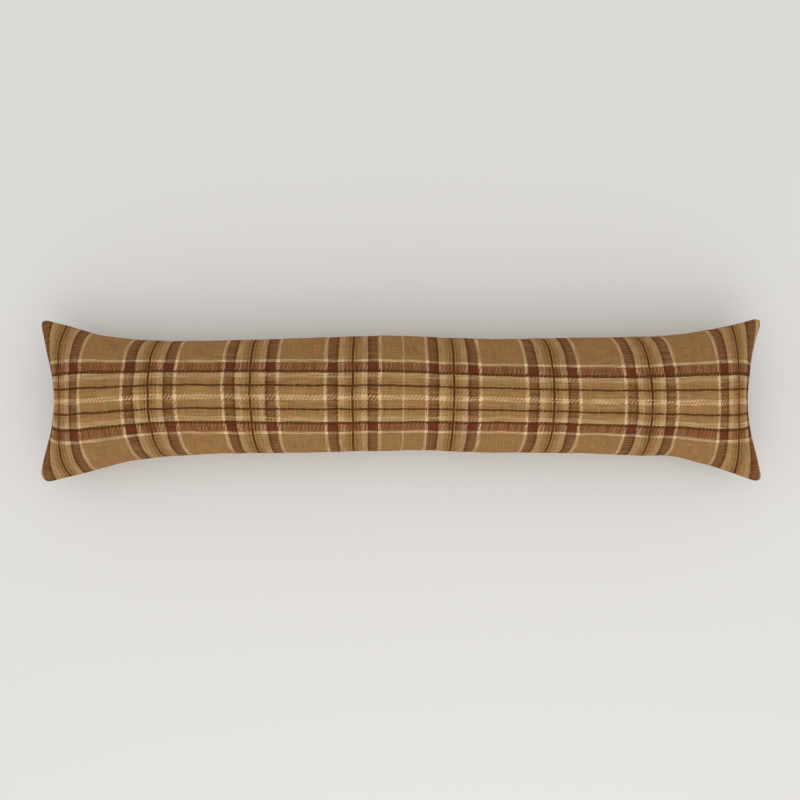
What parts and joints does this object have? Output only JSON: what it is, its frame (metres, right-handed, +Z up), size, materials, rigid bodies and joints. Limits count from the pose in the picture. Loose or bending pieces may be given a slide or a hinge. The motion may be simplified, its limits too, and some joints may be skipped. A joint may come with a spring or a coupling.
{
  "type": "draught excluder",
  "caption": "Long narrow stuffed cushion in camel and brown plaid cloth that lies along the foot of a door, with a crown, drawn-in sides and eared corners.",
  "frame": {"origin": "on the floor, under the middle of the part", "axes": "+X along the length, +Y across the width towards the side whose seam shows from above, +Z up from the floor"},
  "size_m": [0.9054, 0.2051, 0.1052],
  "materials": {
    "plaid_cloth": "Soft brushed twill in camel with brown, maroon and cream stripes both ways, matt."
  },
  "bodies": {
    "root": {"stuffed_cover": "plaid_cloth"}
  },
  "joints": []
}
